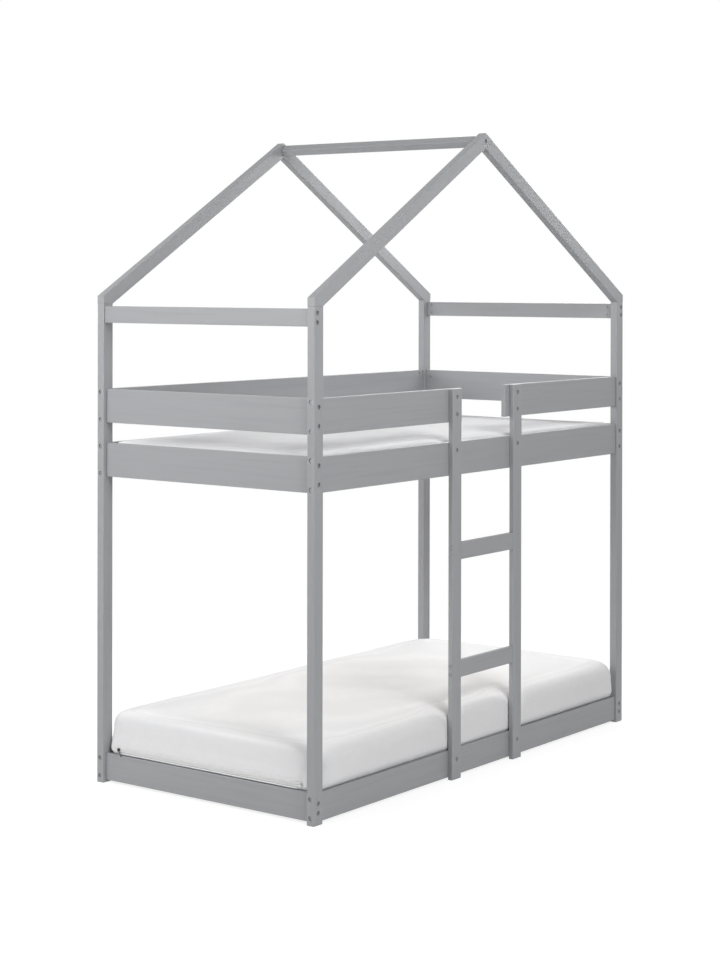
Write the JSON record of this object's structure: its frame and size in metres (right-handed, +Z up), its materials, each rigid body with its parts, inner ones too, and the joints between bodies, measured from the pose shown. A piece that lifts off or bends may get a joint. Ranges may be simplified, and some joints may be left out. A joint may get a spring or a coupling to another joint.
{
  "type": "house-frame bunk bed",
  "caption": "Painted wooden bunk bed with a house-shaped top frame, a front ladder, slatted bases and two mattresses.",
  "frame": {"origin": "on the floor, at the middle of the box round the whole bed with its ladder", "axes": "+X along the long side to the right as seen from the ladder, +Y across the bed from the ladder to the back, +Z up"},
  "size_m": [1.985, 0.984, 2.2947],
  "materials": {
    "painted_wood": "light grey satin lacquer over smooth pine, edges lightly rounded",
    "bare_wood": "planed, unpainted pine",
    "dowel_wood": "fluted beech dowel",
    "bolt_steel": "zinc-plated steel, satin",
    "nut_steel": "zinc-plated steel, turned",
    "screw_steel": "zinc-plated steel",
    "webbing": "woven polyester tape",
    "mattress_fabric": "white knitted mattress cover",
    "zip_tape": "white woven tape with a fine coil",
    "zip_metal": "black lacquered zip slider and pull"
  },
  "bodies": {
    "frame": {"end_board_bolts": "bolt_steel", "end_board_nuts": "nut_steel", "guard_back": "painted_wood", "guard_end_left": "painted_wood", "guard_end_right": "painted_wood", "guard_front_left": "painted_wood", "guard_front_right": "painted_wood", "ladder_bolts": "bolt_steel", "ladder_insert_nuts": "nut_steel", "ladder_rung_lower": "painted_wood", "ladder_rung_upper": "painted_wood", "ladder_stile_left": "painted_wood", "ladder_stile_right": "painted_wood", "lower_ledge_back": "bare_wood", "lower_ledge_front": "bare_wood", "lower_ledge_screws": "screw_steel", "lower_rail_back": "painted_wood", "lower_rail_end_left": "painted_wood", "lower_rail_end_right": "painted_wood", "lower_rail_front": "painted_wood", "lower_slat_screws": "screw_steel", "lower_slat_tapes": "webbing", "lower_slats": "bare_wood", "post_back_left": "painted_wood", "post_back_right": "painted_wood", "post_front_left": "painted_wood", "post_front_right": "painted_wood", "rafter_back_left": "painted_wood", "rafter_back_right": "painted_wood", "rafter_foot_dowels": "dowel_wood", "rafter_foot_screws": "screw_steel", "rafter_front_left": "painted_wood", "rafter_front_right": "painted_wood", "ridge_bar": "painted_wood", "ridge_bolts": "bolt_steel", "ridge_nuts": "nut_steel", "rung_bolts": "bolt_steel", "rung_nuts": "nut_steel", "side_board_bolts": "bolt_steel", "side_board_nuts": "nut_steel", "top_rail_left": "painted_wood", "top_rail_right": "painted_wood", "upper_ledge_back": "bare_wood", "upper_ledge_front": "bare_wood", "upper_ledge_screws": "screw_steel", "upper_rail_back": "painted_wood", "upper_rail_end_left": "painted_wood", "upper_rail_end_right": "painted_wood", "upper_rail_front": "painted_wood", "upper_slat_screws": "screw_steel", "upper_slat_tapes": "webbing", "upper_slats": "bare_wood"},
    "upper_mattress": {"upper_mattress": "mattress_fabric"},
    "lower_mattress": {"lower_mattress": "mattress_fabric", "lower_zip_tape": "zip_tape"},
    "zip_slider": {"lower_zip_slider": "zip_metal"},
    "zip_pull": {"lower_zip_pull": "zip_metal"}
  },
  "joints": [
    {"name": "upper_mattress_lift", "type": "slide", "parent": "frame", "child": "upper_mattress", "axis": [0, 0, 1], "range_m": [0, 0.3]},
    {"name": "lower_mattress_lift", "type": "slide", "parent": "frame", "child": "lower_mattress", "axis": [0, 0, 1], "range_m": [0, 0.25]},
    {"name": "zip_slide", "type": "slide", "parent": "lower_mattress", "child": "zip_slider", "axis": [0, -1, 0], "range_m": [0, 0.77]},
    {"name": "zip_pull_swing", "type": "hinge", "parent": "zip_slider", "child": "zip_pull", "pos_m": [-0.97675, 0.405, 0.121], "axis": [0, 0.7314, -0.682], "range_deg": [0, 120]}
  ]
}
